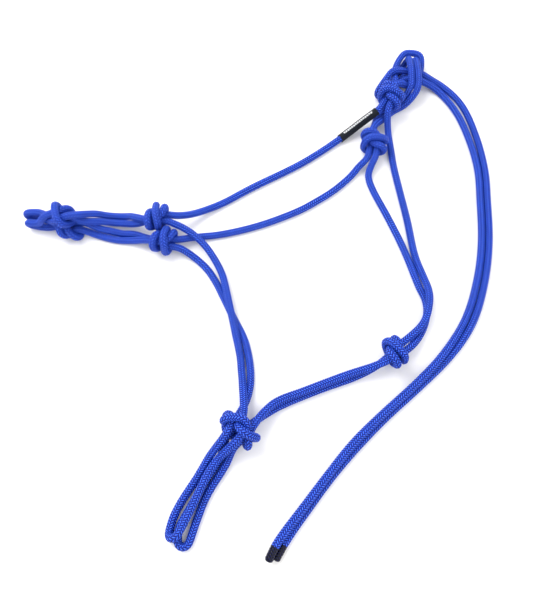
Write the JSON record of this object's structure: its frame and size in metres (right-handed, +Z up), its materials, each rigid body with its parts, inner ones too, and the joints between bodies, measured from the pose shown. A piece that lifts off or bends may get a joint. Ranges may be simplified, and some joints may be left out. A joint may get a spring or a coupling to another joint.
{
  "type": "rope halter",
  "caption": "Tied rope halter for a horse: braided blue rope with overhand knots, a fiador knot with lead loops, a tie loop, a long crown tail and a label sleeve",
  "frame": {"origin": "below the middle of the halter's bounding box, on the surface that the halter lies on", "axes": "+X points from the noseband to the tail side, +Y from the lead loops to the tie loop, +Z up from the surface"},
  "size_m": [0.4522, 0.5008, 0.037],
  "materials": {
    "rope": "satin braided",
    "dipped_tip": "glossy dipped",
    "label": "matt woven"
  },
  "bodies": {
    "crown_piece": {"crown_rope_a": "rope", "crown_rope_b": "rope", "fiador_knot_a": "rope", "fiador_knot_b": "rope", "fiador_knot_c": "rope", "fiador_knot_d": "rope", "label_sleeve": "label", "near_cheek_knot_a": "rope", "near_cheek_knot_b": "rope", "near_cheek_rope": "rope", "near_jaw_lower": "rope", "off_cheek_knot_a": "rope", "off_cheek_knot_b": "rope", "off_cheek_rope": "rope", "off_jaw_lower": "rope", "off_side_knot_a": "rope", "off_side_knot_b": "rope", "sheet_bend_a": "rope", "sheet_bend_b": "rope", "tail_a_upper": "rope", "tail_b_upper": "rope", "throat_knot_a": "rope", "throat_knot_b": "rope", "throat_pair_rope_a": "rope", "throat_pair_rope_b": "rope", "tie_loop": "rope", "tie_loop_knot_a": "rope", "tie_loop_knot_b": "rope"},
    "noseband": {"near_nose_rope_a": "rope", "near_nose_rope_b": "rope", "off_nose_rope_a": "rope", "off_nose_rope_b": "rope", "near_nose_knot_a": "rope", "near_nose_knot_b": "rope", "off_nose_knot_a": "rope", "off_nose_knot_b": "rope", "nose_fold_a": "rope", "nose_fold_b": "rope"},
    "near_jaw": {"near_jaw_rope": "rope"},
    "off_jaw": {"off_jaw_rope": "rope"},
    "near_throat": {"near_throat_rope": "rope"},
    "off_throat": {"off_throat_rope": "rope"},
    "lead_front": {"lead_loop_front": "rope"},
    "lead_back": {"lead_loop_back": "rope"},
    "tail_middle": {"tail_a_middle": "rope", "tail_b_middle": "rope"},
    "tail_lower": {"tail_a_lower": "rope", "tail_b_lower": "rope"},
    "tail_end_a": {"tail_a_end": "rope", "tail_a_tip": "dipped_tip"},
    "tail_end_b": {"tail_b_end": "rope", "tail_b_tip": "dipped_tip"}
  },
  "joints": [
    {"name": "noseband_fold", "type": "hinge", "parent": "crown_piece", "child": "noseband", "pos_m": [-0.1232, 0.04137, 0.006], "axis": [-0.2054, 0.9596, 0.1922], "range_deg": [-35, 25]},
    {"name": "near_jaw_swing", "type": "hinge", "parent": "crown_piece", "child": "near_jaw", "pos_m": [-0.04829, -0.02367, 0.0106], "axis": [0.4453, -0.8896, -0.1012], "range_deg": [0, 45]},
    {"name": "off_jaw_swing", "type": "hinge", "parent": "crown_piece", "child": "off_jaw", "pos_m": [-0.04282, -0.03293, 0.00631], "axis": [0.5391, -0.8407, -0.0501], "range_deg": [-45, 0]},
    {"name": "near_throat_swing", "type": "hinge", "parent": "crown_piece", "child": "near_throat", "pos_m": [0.12865, 0.05008, 0.01608], "axis": [-0.0065, -0.9993, -0.0364], "range_deg": [0, 50]},
    {"name": "off_throat_swing", "type": "hinge", "parent": "crown_piece", "child": "off_throat", "pos_m": [0.1225, 0.0217, 0.01062], "axis": [0.0808, -0.9967, -0.0059], "range_deg": [-50, 0]},
    {"name": "lead_front_fold", "type": "hinge", "parent": "crown_piece", "child": "lead_front", "pos_m": [-0.0373, -0.17238, 0.0089], "axis": [-0.9303, -0.0601, -0.3619], "range_deg": [0, 45]},
    {"name": "lead_back_fold", "type": "hinge", "parent": "crown_piece", "child": "lead_back", "pos_m": [-0.02906, -0.17277, 0.00412], "axis": [-0.9215, 0.3265, -0.2103], "range_deg": [-60, 0]},
    {"name": "tail_middle_fold", "type": "hinge", "parent": "crown_piece", "child": "tail_middle", "pos_m": [0.21978, 0.10881, 0.00317], "axis": [-0.9317, 0.3633, 0], "range_deg": [-60, 60]},
    {"name": "tail_lower_fold", "type": "hinge", "parent": "tail_middle", "child": "tail_lower", "pos_m": [0.20465, -0.01083, 0.00317], "axis": [-0.9195, 0.3931, 0], "range_deg": [-60, 60]},
    {"name": "tail_end_a_fold", "type": "hinge", "parent": "tail_lower", "child": "tail_end_a", "pos_m": [0.1075, -0.13785, 0.00317], "axis": [-0.6714, 0.7411, 0], "range_deg": [-50, 0]},
    {"name": "tail_end_b_fold", "type": "hinge", "parent": "tail_lower", "child": "tail_end_b", "pos_m": [0.10523, -0.13469, 0.00916], "axis": [-0.6585, 0.7525, 0], "range_deg": [0, 50]}
  ]
}
